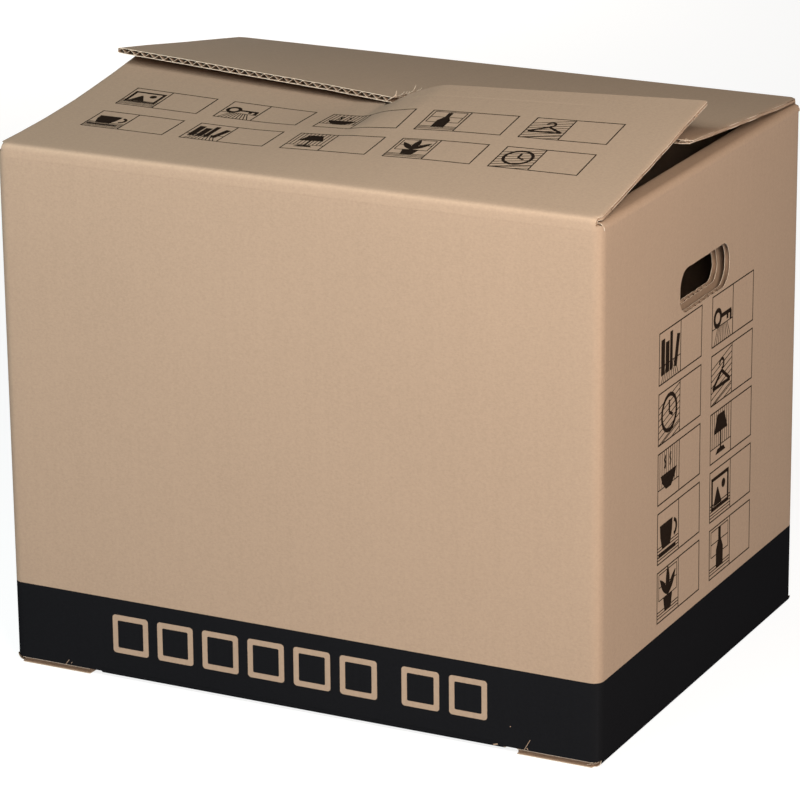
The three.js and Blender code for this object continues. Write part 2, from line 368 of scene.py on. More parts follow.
def wall_middle_line():
    """Once round the walls at half their thickness: position, outward normal and blank u.

    Each wall is a straight run, then a quarter circle about the corner's centre.
    """
    half = np.array([length / 2, width / 2])
    reach = half - corner_radius
    place, outward, blank_u = [], [], []
    u = 0.0
    for wall, span in enumerate([length, width, length, width]):
        heading = wall * np.pi / 2
        ahead = np.array([np.cos(heading), np.sin(heading)])
        out = np.array([np.sin(heading), -np.cos(heading)])
        run = np.linspace(-1, 1, wall_columns + 1)[:-1, None] * (span / 2 - corner_radius)
        depth = np.abs(out @ half) - board / 2
        place.append(ahead * run + out * depth)
        outward.append(np.tile(out, (len(run), 1)))
        blank_u.append(u + span / 2 + run[:, 0])
        share = np.linspace(0, 1, corner_columns + 1)[:-1]
        turn = heading + share * np.pi / 2
        normal = np.stack([np.sin(turn), -np.cos(turn)], axis=-1)
        centre = ahead * np.abs(ahead @ reach) + out * np.abs(out @ reach)
        place.append(centre + normal * (corner_radius - board / 2))
        outward.append(normal)
        blank_u.append(u + span + corner_radius * (2 * share - 1))
        u += span
    return np.concatenate(place), np.concatenate(outward), np.concatenate(blank_u)


def wall_dip(share, height):
    """How far a wall stands in: room for the ink, and a hollow of two squared sines, along it and up it."""
    rise = np.clip((height - wall_foot) / (wall_top - wall_foot), 0, 1)
    return ink_room + panel_dip * np.sin(np.pi * share) ** 2 * np.sin(np.pi * rise) ** 2


def walls_shell():
    """The ring of walls: the middle line carried up in rows, which rise a little more at the corners."""
    line, outward, u = wall_middle_line()
    below = np.linspace(wall_foot, band_top, 7)[:-1]
    above = np.linspace(band_top, wall_top - 4 / 3 * top_strip, 34)
    heights = np.concatenate([below, above, wall_top - np.linspace(top_strip, 0, 4)])
    ends = np.array([0, length, length + width, 2 * length + width, 2 * (length + width)])
    wall = np.clip(np.searchsorted(ends, u, side="right") - 1, 0, 3)
    share = (u - ends[wall]) / (ends[wall + 1] - ends[wall])
    to_corner = np.min(np.abs(u[:, None] - ends), axis=1)
    middle = np.zeros((len(heights), len(u), 3))
    middle[..., :2] = line - outward * wall_dip(share, heights[:, None])[..., None]
    near_top = np.clip((heights - wall_top) / top_strip + 1, 0, 1)[:, None]
    middle[..., 2] = heights[:, None] + corner_rise * near_top * np.clip(2 - to_corner / 0.004, 0, 1)
    normal = np.zeros_like(middle)
    normal[..., :2] = outward
    blank = np.zeros((len(heights), len(u), 2))
    blank[..., 0] = u
    blank[..., 1] = heights[:, None]
    finish = np.where(heights[:-1] < band_top - 1e-6, INK, OUTER)[:, None]
    # Painted light on the liner: a soft lighter band under the top fold, and a thin highlight down each
    # corner, where the scored liner is also a little stretched.
    painted_light_under_crease = 0.2 * np.exp(-(((rim - heights) / 0.012) ** 2))[:, None]
    stretch_and_highlight = np.maximum(0.3 * np.exp(-((to_corner / 0.0016) ** 2)), painted_light_under_crease)
    return board_shell(middle, normal, blank, finish, stretch_and_highlight, recess=(1.5, 1.2, 0), ring=True)


def uneven(count, seed, closed=False):
    """Seeded random numbers within about 1 of 0, smoothed over their neighbours, for torn and cut edges."""
    raw = np.random.default_rng(seed).uniform(-1, 1, count + 4)
    if closed:
        raw[-4:] = raw[:4]
    return np.convolve(raw, [0.1, 0.25, 0.3, 0.25, 0.1], "valid")


def rounded_outline(wide, high, radius, seed, roughness, count=140):
    """A rounded rectangle about its centre, once round in even steps, its line unsteady by the roughness."""
    turn = (np.arange(80) + 0.5) * np.pi / 40
    round_part = np.stack([np.cos(turn), np.sin(turn)], axis=-1)
    loop = np.sign(round_part) * [wide / 2 - radius, high / 2 - radius] + radius * round_part
    closed = np.concatenate([loop, loop[:1]])
    at = np.concatenate([[0], np.cumsum(np.hypot(*np.diff(closed, axis=0).T))])
    stations = np.linspace(0, at[-1], count, endpoint=False)
    even = np.stack([np.interp(stations, at, closed[:, k]) for k in (0, 1)], axis=-1)
    outward = even / np.linalg.norm(even, axis=-1, keepdims=True)
    return even + outward * roughness * uneven(count, seed, closed=True)[:, None]


def punch(piece, outline, x_from, x_to, slant, finish):
    """Cuts a prism with this outline of y and z, from one x to the other, out of a piece.

    Both ends are sheared: x grows by the slant for each metre above the grip's centre. The cut faces take
    the finish.
    """
    count = len(outline)
    shear = slant * (outline[:, 1] - grip_centre)
    ends = [np.column_stack([x + shear, outline]) for x in (x_from, x_to)]
    around = np.arange(count)
    after = (around + 1) % count
    sides = np.stack([around, after, after + count, around + count], axis=-1).tolist()
    faces = sides + [around[::-1].tolist(), (around + count).tolist()]
    mesh = bpy.data.meshes.new("punch")
    mesh.from_pydata(np.concatenate(ends).tolist(), [], faces)
    mesh.materials.append(finish)
    tool = bmesh.new()
    tool.from_mesh(mesh)
    bmesh.ops.recalc_face_normals(tool, faces=tool.faces)
    tool.to_mesh(mesh)
    tool.free()
    cutter = bpy.data.objects.new("punch", mesh)
    bpy.context.scene.collection.objects.link(cutter)
    cut = piece.modifiers.new("punch", "BOOLEAN")
    cut.operation = "DIFFERENCE"
    cut.solver = "EXACT"
    cut.object = cutter
    cut.material_mode = "TRANSFER"
    depsgraph = bpy.context.evaluated_depsgraph_get()
    result = bpy.data.meshes.new_from_object(piece.evaluated_get(depsgraph))
    piece.modifiers.clear()
    old = piece.data
    piece.data = result
    bpy.data.meshes.remove(old)
    bpy.data.objects.remove(cutter)
    bpy.data.meshes.remove(mesh)


def punch_grip(piece, side, depth, margin, slant, roughness, seed):
    """Punches a grip hole through the board that lies this deep inside the wall's outer face.

    The hole is a rounded rectangle, smaller by the margin on every side. The board is hollowed behind the
    cut edge, and the flutes' ends are put back at its top and bottom: these come back as shells. The inner
    hole, which has a margin, sits a little further back than the outer one.
    """
    size = (grip_length - 2 * margin, grip_height - 2 * margin, grip_corner - margin)
    x_outer = side * (length / 2 - depth)
    x_inner = x_outer - side * board
    place = [grip_offset * margin / grip_margin, grip_centre]
    outline = rounded_outline(*size, seed, roughness) + place
    punch(piece, outline, x_outer + side * board / 2, x_inner - side * board / 2, slant, cut_board)
    hollow = np.array([grip_hollow_ends, grip_hollow, grip_hollow_ends])
    wider = rounded_outline(*(size + 2 * hollow), seed, 0) + place
    punch(piece, wider, x_outer - side * liner, x_inner + side * liner, slant, kraft_inner)
    reach = size[0] / 2 - size[2] - 0.001
    y = np.arange(-reach, reach, flute_pitch / 12)
    u = length + width / 2 + y if side > 0 else 2 * length + 1.5 * width - y
    shells = []
    for top in (-1, 1):
        rise = top * size[1] / 2
        middle = (x_outer + x_inner) / 2 + slant * rise
        edge = np.column_stack([middle + 0 * y, y + place[0], grip_centre + rise + 0 * y])
        out = np.array([side, 0.0, -side * slant])
        inward = np.array([slant * top, 0.0, top])
        shells.append(flute_shell(edge, out, inward, u, start=0.0007, depth=0.0096))
    return shells


walls = board_piece("walls", [walls_shell()], board_finishes)
grip_depth = wall_dip(0.5, grip_centre)
for name, side in (("left_grip_flutes", -1), ("right_grip_flutes", 1)):
    flutes = punch_grip(walls, side, grip_depth, margin=0.0, slant=0.0, roughness=0.0006, seed=4 + side)
    board_piece(name, flutes, board_finishes)


# Top flaps. Each carries on from its wall round a scored fold, and is slit at the middle of its free edge
# into two tongues. The rear flap's left tongue lies over the front flap, the front one's right over the rear.
flap_edge = length / 2 - 0.002
crease_edge = length / 2 - fold_radius
tongue_chamfer = 0.028
groove_width = 0.0013
groove_depth = 0.00012
groove_end = 0.17
twist_reach = 0.07
twist_start, twist_run = 0.4, 0.42
die_width, die_crush = 0.0012, 0.35
crush_width = 0.012
slit_half = 0.010
front_over, front_under = 0.185, 0.200
rear_over, rear_under = 0.189, 0.204
slit_depth = 0.022
worn_corner = 0.007


def flap_stations(outline, step=0.003):
    """Stations across a flap: every corner of its outline, close ones at its sides, even steps between."""
    corners = [x for x, _ in outline]
    close = [end * (flap_edge - inset) for end in (-1, 1) for inset in (0.0005, 0.001, 0.0018)]
    corners = np.array(corners + close)
    even = np.arange(-flap_edge, flap_edge, step)
    far = np.min(np.abs(even[:, None] - corners), axis=1) > step / 3
    return np.sort(np.concatenate([corners, even[far]]))


def softened(x, points, reach=0.005):
    """Values on a line through [x, value] points, averaged over a reach either side."""
    at, value = np.array(points).T
    offsets = np.linspace(-reach, reach, 41)
    return np.interp(x[:, None] + offsets, at, value).mean(axis=1)


def flap_run(x, flap):
    """Length of a flap past its fold, at each place across it."""
    return np.interp(x, *np.array(flap["outline"]).T) - fold_radius


def flap_level(x, share, flap):
    """Rise of a flap in radians. Near the fold it changes gently across the flap, at the slit sharply.

    The one passes into the other as a smooth step of the share of the flap's length.
    """
    gentle = softened(x, flap["level"], twist_reach)
    sharp = softened(x, flap["level"])
    step = np.clip((share - twist_start) / twist_run, 0, 1)
    weight = step**2 * (3 - 2 * step)
    return np.radians(gentle + (sharp - gentle) * weight)


def flap_surface(side, x, share, flap):
    """Middle points and printed-side normals of a top flap past its fold.

    x is the place across the flap, share runs from 0 at the fold to 1 at the free edge. From the fold the
    flap rises at its level angle less half its bow, and its heading turns by the bow along its length.
    """
    bow = np.radians(softened(x, flap["bow"]))
    level = flap_level(x, share, flap) - bow / 2
    run = share * flap_run(x, flap)
    chord = level + bow * share / 2
    inward = board / 2 + middle_radius * (1 - np.sin(level)) + run * np.cos(chord)
    up = rim - fold_radius + middle_radius * np.cos(level) + run * np.sin(chord)
    heading = level + bow * share
    place = np.stack([x * np.ones_like(inward), side * (width / 2 - inward), up], axis=-1)
    normal = np.stack([0 * heading, side * np.sin(heading), np.cos(heading)], axis=-1)
    return place, normal


def flap_shell(side, flap):
    """A top flap from the wall's top edge, round the quarter turn of its fold, to its free edge.

    Its side edges are crushed by the die: the board thins there along a bell curve, and the edge itself
    is unsteady by the flap's fray. A faint scored groove, a bell curve in section, crosses the right part.
    Comes back with its free edge: stations, edge points, normals, the points before them, and blank u.
    """
    x = flap_stations(flap["outline"])
    bow = np.radians(softened(x, flap["bow"]))
    level = flap_level(x, 0.0, flap) - bow / 2
    turn = np.linspace(0, 1, 9)[:, None]
    heading = np.pi / 2 + (level - np.pi / 2) * turn
    inward = board / 2 + middle_radius * (1 - np.sin(heading))
    up = rim - fold_radius + middle_radius * np.cos(heading)
    narrow = x * crease_edge / flap_edge
    fold = np.stack([narrow + 0 * inward, side * (width / 2 - inward), up], axis=-1)
    fold_normal = np.stack([0 * heading, side * np.sin(heading), np.cos(heading)], axis=-1)
    stub = fold[:1].copy()
    stub[..., 2] = wall_top
    run = flap_run(x, flap)
    groove = flap["groove"]
    around_groove = groove - fold_radius + np.linspace(-0.003, 0.003, 7)
    around_groove /= flap["outline"][-1][1] - fold_radius
    share = np.sort(np.concatenate([[0.012, 0.03], np.linspace(0.06, 1, 50), around_groove]))[:, None]
    place, normal = flap_surface(side, x, share, flap)
    grooved = np.exp(-(((fold_radius + share * run - groove) / groove_width) ** 2))
    grooved *= np.clip(x / 0.02, 0, 1) * np.clip((groove_end - x) / 0.03, 0, 1)
    place -= normal * groove_depth * grooved[..., None]
    for column, end, seed in ((0, -1, 7), (-1, 1, 8)):
        place[:, column, 0] -= end * flap["fray"][column] * (1 + uneven(len(share), seed)) / 2
    place[-1, :, 1] += side * 0.0004 * (1 + uneven(len(x), 9))
    middle = np.concatenate([stub, fold, place])
    normals = np.concatenate([fold_normal[:1], fold_normal, normal])
    v = np.concatenate([[wall_top], rim - fold_radius + turn[:, 0] * fold_radius])[:, None] + 0 * x
    v = np.concatenate([v, rim + share * run])
    u = (x + length / 2) if side < 0 else (1.5 * length + width - x)
    blank = np.stack([u + 0 * v, v], axis=-1)
    # Lighter round the fold, strongest halfway round and just past it: partly stretched liner, partly painted
    # highlight. The lighter line along the groove is a painted highlight.
    stretch_and_highlight = np.concatenate([[0.3], 0.3 + 0.7 * np.sin(np.pi * turn[:, 0]) ** 6])[:, None] + 0 * x
    stretch_and_highlight_past_fold = 0.3 * np.exp(-((share * run / 0.003) ** 2))
    stretch_and_highlight = np.concatenate([stretch_and_highlight, np.maximum(stretch_and_highlight_past_fold, 0.2 * grooved)])
    squeeze = 1 - die_crush * np.exp(-(((flap_edge - np.abs(x)) / die_width) ** 2)) + 0 * v
    crushed = (flap_edge - x) / crush_width
    squeeze[-8:] -= flap["crush"] * np.exp(-(crushed**2)) * np.linspace(0, 1, 8)[:, None]
    shell = board_shell(middle, normals, blank, OUTER, stretch_and_highlight, squeeze)
    return shell, (x, place[-1], normal[-1], place[-2], u)


def flap_flutes(free_edge):
    """The medium's waves behind a flap's free edge, sampled twelve times to a flute."""
    x, edge, normal, before, u = free_edge
    fine = np.arange(x[0] + 0.0015, x[-1] - 0.0015, flute_pitch / 12)

    def at_fine(values):
        """Values at the fine stations, on straight lines between the flap's own."""
        return np.stack([np.interp(fine, x, values[:, k]) for k in range(3)], axis=-1)

    inward = at_fine(before) - at_fine(edge)
    inward /= np.linalg.norm(inward, axis=-1, keepdims=True)
    return flute_shell(at_fine(edge), at_fine(normal), inward, np.interp(fine, x, u))


front_root = front_over - slit_depth
front_flap = {
    "outline": [
        (-flap_edge, front_under),
        (-slit_half - tongue_chamfer, front_under),
        (-slit_half - 0.002, front_over - slit_half),
        (-slit_half, front_root),
        (-0.002, front_root),
        (0.001, front_root + 0.006),
        (0.006, front_root + 0.012),
        (0.013, front_root + 0.0175),
        (0.021, front_root + 0.0205),
        (0.032, front_over),
        (flap_edge, front_over),
    ],
    "level": [
        (-flap_edge, 6.2),
        (-slit_half - tongue_chamfer, 3.5),
        (-slit_half - 0.002, 4.1),
        (0.004, 6.6),
        (tongue_chamfer, 8.6),
        (flap_edge, 11.9),
    ],
    "bow": [(-flap_edge, 8.0), (-slit_half - tongue_chamfer, 2.0), (0.0, 0.5), (flap_edge, 0.0)],
    "groove": 0.165,
    "fray": (0.0004, 0.0010),
    "crush": 0.0,
}
rear_root = rear_over - slit_depth
rear_flap = {
    "outline": [
        (-flap_edge, rear_over),
        (-0.005, rear_over),
        (-0.0035, rear_root),
        (slit_half - 0.004, rear_root),
        (slit_half + 0.004, rear_over - slit_half),
        (slit_half + tongue_chamfer, rear_under),
        (flap_edge - worn_corner, rear_under),
        (flap_edge - worn_corner * 0.6, rear_under - worn_corner * 0.08),
        (flap_edge - worn_corner * 0.3, rear_under - worn_corner * 0.3),
        (flap_edge, rear_under - worn_corner),
    ],
    "level": [(-flap_edge, 9.8), (-0.056, 6.8), (0.0, 5.5), (0.040, 5.15), (flap_edge, 4.7)],
    "bow": [(-flap_edge, -1.0), (0.0, 0.0), (flap_edge, 1.0)],
    "groove": 0.168,
    "fray": (0.0004, 0.0022),
    "crush": 0.35,
}
for name, side, flap in (("front_flap", -1, front_flap), ("rear_flap", 1, rear_flap)):
    shell, free_edge = flap_shell(side, flap)
    board_piece(name, [shell, flap_flutes(free_edge)], board_finishes)


# Side rims. The top of each side wall is folded over twice and hangs down inside as a second board, which
# leans back until its lower edge lies on the wall. It has a grip hole of its own, a little smaller.
roll_width = 0.019
inner_drop = 0.175
fold_half = width / 2 - board - clearance
inner_half = fold_half - board
inner_lean = math.atan2(roll_width - 2 * board - clearance, inner_drop)
inner_start = roll_width - fold_radius + middle_radius * math.cos(inner_lean)


def side_rim_shell(side):
    """A fold, a short level run, a second fold and the drop down inside, carried along the wall."""
    first = np.linspace(0, np.pi / 2, 9)
    second = np.linspace(0, np.pi / 2 + inner_lean, 10)
    flat = roll_width - 2 * fold_radius
    run = np.linspace(0, flat, 4)[1:-1]
    drop = np.linspace(0, inner_drop - fold_radius, 40)[1:]
    top = side_rim - fold_radius
    inward = [board / 2 + middle_radius * (1 - np.cos(first)), fold_radius + run]
    inward += [fold_radius + flat + middle_radius * np.sin(second), inner_start - drop * np.sin(inner_lean)]
    rise = [top + middle_radius * np.sin(first), 0 * run + top + middle_radius]
    rise += [top + middle_radius * np.cos(second)]
    rise += [top - middle_radius * np.sin(inner_lean) - drop * np.cos(inner_lean)]
    heading = [np.pi / 2 - first, 0 * run, -second, 0 * drop - np.pi / 2 - inner_lean]
    inward, rise, heading = (np.concatenate(part)[:, None] for part in (inward, rise, heading))
    folded = len(first) + len(run) + len(second) - 3
    half = np.where(np.arange(len(inward)) < folded, fold_half, inner_half)[:, None]
    y = half * np.linspace(-1, 1, 70)
    middle = np.stack(np.broadcast_arrays(side * (length / 2 - inward), y, rise), axis=-1).copy()
    normal = np.stack(np.broadcast_arrays(side * np.sin(heading), 0 * y, np.cos(heading)), axis=-1).copy()
    steps = np.hypot(np.diff(inward, axis=0), np.diff(rise, axis=0))
    v = top + np.concatenate([[[0.0]], np.cumsum(steps, axis=0)])
    u = length + width / 2 + y if side > 0 else 2 * length + 1.5 * width - y
    blank = np.stack(np.broadcast_arrays(u, v), axis=-1).copy()
    # Lighter along the rolled rim, most halfway round each fold: painted highlight, partly also liner
    # stretched by the folds.
    stretch_and_highlight_share = [0.15 + 0.5 * np.sin(2 * first), 0.15 + 0 * run]
    stretch_and_highlight_share += [0.15 + 0.5 * np.sin(2 * second).clip(0), 0 * drop]
    stretch_and_highlight = np.concatenate(stretch_and_highlight_share)[:, None]
    return board_shell(middle, normal, blank, OUTER, stretch_and_highlight, recess=(0.3, 5.0, 1.0))


for name, side in (("left_rim", -1), ("right_rim", 1)):
    rim_piece = board_piece(name, [side_rim_shell(side)], board_finishes)
    below_rim = side_rim - fold_radius - grip_centre
    depth = inner_start - board / 2 - below_rim * math.tan(inner_lean)
    slant = -side * math.tan(inner_lean)
    flutes = punch_grip(rim_piece, side, depth, grip_margin, slant, roughness=0.0013, seed=14 + side)
    board_piece(name + "_flutes", flutes, board_finishes)


# Bottom flaps. The side flaps lie lowest, full width near their fold and then stepped in to a tongue.
# The narrower front and rear flaps start just above the floor and climb onto them.
side_bottom_reach = 0.172
shoulder_reach = 0.062
shoulder_step = 0.045
long_flap_inset = 0.072
crease_lift = 0.0018
rise_run = 0.036
middle_gap = 0.002
ink_past_fold = 0.008


def bottom_shell(side, long_wall):
    """A quarter turn inwards below the wall, then the flap's run: level, or climbing onto the side flaps.

    The climb is a smooth step: three times the share squared less twice the share cubed.
    """
    turn = np.linspace(0, np.pi / 2, 9)
    lift = crease_lift if long_wall else 0.0
    reach = (width / 2 - middle_gap / 2) if long_wall else side_bottom_reach
    if long_wall:
        near = np.linspace(0.001, rise_run, 10)
        far = np.linspace(rise_run, reach - fold_radius, 12)[1:]
    else:
        near = np.linspace(0.001, shoulder_reach - fold_radius, 6)
        far = np.linspace(shoulder_reach - fold_radius + 0.0015, reach - fold_radius, 10)
    run = np.concatenate([near, far])
    climb = (board + clearance - crease_lift) if long_wall else 0.0
    share = np.clip(run / rise_run, 0, 1)
    rise = climb * share**2 * (3 - 2 * share)
    slope = climb * 6 * share * (1 - share) / rise_run
    inward = np.concatenate([board / 2 + middle_radius * (1 - np.cos(turn)), fold_radius + run])
    up = np.concatenate([lift + fold_radius - middle_radius * np.sin(turn), lift + board / 2 + rise])
    tilt = np.concatenate([turn - np.pi / 2, np.arctan(slope)])
    rows = len(inward)
    across = np.linspace(-1, 1, 50)
    if long_wall:
        half = np.full(rows, length / 2 - long_flap_inset)
    else:
        full = width / 2 - 0.001
        half = np.full(rows, full)
        half[: len(turn)] = width / 2 - corner_radius / 2
        half[len(turn) + len(near) :] = full - shoulder_step
    along = half[:, None] * across
    down = np.stack([np.sin(tilt), -np.cos(tilt)], axis=-1)
    wall_half = width / 2 if long_wall else length / 2
    off_wall = side * (wall_half - inward)[:, None] + 0 * along
    out = (-side * down[:, 0])[:, None] + 0 * along
    level = 0 * along
    if long_wall:
        middle = np.stack([along, off_wall, up[:, None] + level], axis=-1)
        normal = np.stack([level, out, down[:, 1:] + level], axis=-1)
        u = along + length / 2 if side < 0 else 1.5 * length + width - along
    else:
        middle = np.stack([off_wall, along, up[:, None] + level], axis=-1)
        normal = np.stack([out, level, down[:, 1:] + level], axis=-1)
        u = length + width / 2 + along if side > 0 else 2 * length + 1.5 * width - along
    v = wall_foot - np.concatenate([[0], np.cumsum(np.hypot(np.diff(inward), np.diff(up)))])
    blank = np.stack([u, v[:, None] + level], axis=-1)
    finish = np.where(v[:-1] > -ink_past_fold, INK, OUTER)[:, None]
    return board_shell(middle, normal, blank, finish, recess=(0.3, 6.0, 2.5))


for name, side, long_wall in (
    ("front_bottom_flap", -1, True),
    ("rear_bottom_flap", 1, True),
    ("left_bottom_flap", -1, False),
    ("right_bottom_flap", 1, False),
):
    board_piece(name, [bottom_shell(side, long_wall)], board_finishes)


# Glued lap. The left wall's narrow flap, stuck flat inside the rear wall, closes the ring of walls. Outside,
# the joint shows as the rear wall's cut edge along the rear left corner.
lap_width = 0.035
lap_low = 0.024
lap_high = rim - 0.040


def lap_shell():
    """A flat panel of board, upright, against the inner face of the rear wall."""
    z = np.linspace(lap_low, lap_high, 20)[:, None]
    x = -length / 2 + board + np.linspace(0, lap_width, 8)
    y = width / 2 - 1.5 * board - 0.0001 + 0 * x * z
    middle = np.stack(np.broadcast_arrays(x, y, z), axis=-1).copy()
    normal = np.zeros_like(middle)
    normal[..., 1] = -1.0
    blank = np.stack(np.broadcast_arrays(2 * length + width - x, z), axis=-1).copy()
    return board_shell(middle, normal, blank, INNER, recess=(3.0, 3.0, 1.0))


board_piece("glued_lap", [lap_shell()], board_finishes)


# Print. Dark ink, flat on the liner: ruled label fields with a household sign and a blank half to write
# in, on the front flap and the side walls, and a row of bare outlined boxes in the front and rear bands.
ink_height = 0.00008
line_width = 0.0009
ribbon_step = 0.004
print_ink = kraft_finish("print_ink", shade(34, 26, 21), contrast=0.2, gloss=0.0)
print_finishes = [kraft_outer, kraft_inner, cut_board, print_ink]


def front_flap_place(points):
    """Points of the front flap's printed face, from the place across it and the way past the wall's top."""
    x, s = points.T
    share = (s - fold_radius) / flap_run(x, front_flap)
    middle, normal = flap_surface(-1, x, share, front_flap)
    return middle + normal * board / 2, normal, np.stack([x + length / 2, rim + s], axis=-1)


def side_wall_place(side):
    """Points of a side wall's outer face, from the place along it, as read from outside, and the height."""

    def place(points):
        """Place, normal and blank coordinates: half the length out from the middle, less the wall's dip."""
        along, z = points.T
        x = side * (length / 2 - wall_dip(along / width + 0.5, z))
        normal = np.tile([side, 0.0, 0.0], (len(z), 1))
        u = (length if side > 0 else 2 * length + width) + width / 2 + along
        return np.stack([x, side * along, z], axis=-1), normal, np.stack([u, z], axis=-1)

    return place


def long_wall_place(side):
    """Points of the front or rear wall's outer face, from the place along it and the height."""

    def place(points):
        """Place, normal and blank coordinates: half the width out from the middle, less the wall's dip."""
        along, z = points.T
        y = side * (width / 2 - wall_dip(along / length + 0.5, z))
        normal = np.tile([0.0, side, 0.0], (len(z), 1))
        u = (0 if side < 0 else length + width) + length / 2 + along
        return np.stack([-side * along, y, z], axis=-1), normal, np.stack([u, z], axis=-1)

    return place


def ribbon_shell(spine, half, place, finish=INK, height=ink_height):
    """A flat closed ribbon on a surface: half its width either side of the spine, a hair above the paper."""
    ahead = np.gradient(spine, axis=0)
    ahead /= np.linalg.norm(ahead, axis=-1, keepdims=True)
    aside = np.stack([-ahead[:, 1], ahead[:, 0]], axis=-1) * half[:, None]
    corners = []
    for points, lifts in ((spine - aside, (-0.0002, height)), (spine + aside, (height, -0.0002))):
        face, normal, _ = place(points)
        corners += [face + normal * lift for lift in lifts]
    return bar_shell(np.stack(corners), place(spine)[2], finish)


def stroke(points, wide, step=0.2):
    """A line through these points, as a spine with stations no more than a step apart, and its half width."""
    points = np.array(points, float)
    at = np.concatenate([[0], np.cumsum(np.hypot(*np.diff(points, axis=0).T))])
    stations = np.concatenate([at, np.linspace(0, at[-1], int(at[-1] // step) + 2)])
    stations = np.unique(np.round(stations, 6))
    spine = np.stack([np.interp(stations, at, points[:, k]) for k in (0, 1)], axis=-1)
    return spine, np.full(len(spine), wide / 2)


def arc(x, y, radius, start, end, wide):
    """A circular stroke about x, y between two angles in degrees."""
    turn = np.radians(np.linspace(start, end, 19))
    spine = np.stack([x + radius * np.cos(turn), y + radius * np.sin(turn)], axis=-1)
    return spine, np.full(len(spine), wide / 2)


def solid_form(start, end, halves):
    """A filled form: a straight spine from start to end whose half width runs through the given values."""
    t = np.linspace(0, 1, 2 * len(halves) + 5)
    spine = np.array(start) + t[:, None] * (np.array(end) - np.array(start))
    return spine, np.interp(t, np.linspace(0, 1, len(halves)), halves)


def disc(x, y, radius):
    """A filled circle: its half width is the radius times the sine of a half turn."""
    turn = np.linspace(0.12, np.pi - 0.12, 15)
    spine = np.stack([x - radius * np.cos(turn), y + 0 * turn], axis=-1)
    return spine, radius * np.sin(turn)


def leaf(start, end, wide):
    """A filled leaf from its stalk to its tip."""
    t = np.linspace(0, 1, 11)
    spine = np.array(start) + t[:, None] * (np.array(end) - np.array(start))
    return spine, wide / 2 * np.sin(np.pi * np.clip(t, 0.04, 0.97)) ** 0.8


def frame_lines(low, high, wide):
    """The four sides of a rectangle, each drawn past its corners by half the line's width."""
    (x0, y0), (x1, y1) = low, high
    ends = [((x0, y0), (x1, y0)), ((x0, y1), (x1, y1)), ((x0, y0), (x0, y1)), ((x1, y0), (x1, y1))]
    lines = []
    for a, b in ends:
        ahead = (np.array(b) - np.array(a)) / np.hypot(*(np.array(b) - np.array(a)))
        lines.append((a - ahead * wide / 2, b + ahead * wide / 2))
    return lines


cup = [
    solid_form((-0.15, -0.45), (-0.15, 0.35), [0.32, 0.46, 0.5]),
    arc(0.42, 0.0, 0.24, -80, 80, 0.12),
    stroke([(-0.75, -0.62), (0.6, -0.62)], 0.12),
]
books = [
    solid_form((-0.55, -0.6), (-0.55, 0.55), [0.14, 0.14]),
    solid_form((-0.2, -0.6), (-0.2, 0.4), [0.14, 0.14]),
    solid_form((0.1, -0.6), (0.1, 0.65), [0.1, 0.1]),
    solid_form((0.42, -0.58), (0.66, 0.42), [0.12, 0.12]),
]
lamp = [
    solid_form((0.0, 0.05), (0.0, 0.65), [0.55, 0.28]),
    stroke([(0.0, 0.05), (0.0, -0.55)], 0.1),
    solid_form((0.0, -0.66), (0.0, -0.5), [0.4, 0.25]),
]
plant = [
    solid_form((0.0, -0.65), (0.0, -0.15), [0.24, 0.36]),
    leaf((0.0, -0.15), (0.0, 0.8), 0.3),
    leaf((0.0, -0.15), (-0.6, 0.5), 0.26),
    leaf((0.0, -0.15), (0.6, 0.5), 0.26),
]
clock = [
    arc(0.0, 0.0, 0.58, 0, 360, 0.13),
    stroke([(0.0, 0.0), (0.0, 0.4)], 0.1),
    stroke([(0.0, 0.0), (0.28, -0.14)], 0.1),
]
picture = [
    *[stroke(line, 0.12) for line in frame_lines((-0.65, -0.5), (0.65, 0.5), 0.12)],
    disc(0.28, 0.16, 0.15),
    solid_form((-0.2, -0.42), (-0.2, 0.16), [0.34, 0.03]),
]
key = [
    arc(-0.4, 0.0, 0.26, 0, 360, 0.15),
    stroke([(-0.14, 0.0), (0.7, 0.0)], 0.14),
    stroke([(0.66, 0.0), (0.66, -0.3)], 0.14),
    stroke([(0.4, 0.0), (0.4, -0.22)], 0.14),
]
bowl = [
    solid_form((0.0, -0.5), (0.0, 0.02), [0.2, 0.5, 0.62]),
    stroke([(-0.3, 0.2), (-0.22, 0.34), (-0.3, 0.48), (-0.22, 0.62)], 0.09),
    stroke([(0.1, 0.2), (0.18, 0.34), (0.1, 0.48), (0.18, 0.62)], 0.09),
]
bottle = [
    solid_form((0.0, -0.65), (0.0, 0.3), [0.28, 0.28, 0.28, 0.1]),
    solid_form((0.0, 0.25), (0.0, 0.7), [0.1, 0.1]),
]
hanger = [
    stroke([(0.0, 0.12), (0.7, -0.35)], 0.12),
    stroke([(0.0, 0.12), (-0.7, -0.35)], 0.12),
    stroke([(-0.7, -0.35), (0.7, -0.35)], 0.12),
    arc(0.0, 0.34, 0.17, -90, 180, 0.1),
]


signs = [cup, books, lamp, plant, clock, picture, key, bowl, bottle, hanger]
boards = [((0, level), (1, level)) for level in (0.07, 0.13, 0.19, 0.25, 0.31)]
floorboards = [((0, 0.34), (1, 0.34))] + [((0.1 * k, 0), (0.22 + 0.056 * k, 0.34)) for k in range(1, 10)]
wallpaper = [((0, 0.28), (1, 0.28))] + [((0.09 + 0.1 * k, 0.28), (0.09 + 0.1 * k, 1)) for k in range(9)]
window = [((0.08, y), (0.92, y)) for y in (0.42, 0.68, 0.94)]
window += [((x, 0.42), (x, 0.94)) for x in (0.08, 0.5, 0.92)]
window += [((0, y), (1, y)) for y in (0.08, 0.14, 0.2)]
slope = [((0, 0.12 * k), (1, 0.12 * k + 0.24)) for k in range(7)]
slope += [((0.12, 0), (1, 0.2)), ((0.6, 0), (1, 0.1))]
grounds = [boards, floorboards, wallpaper, window, slope]


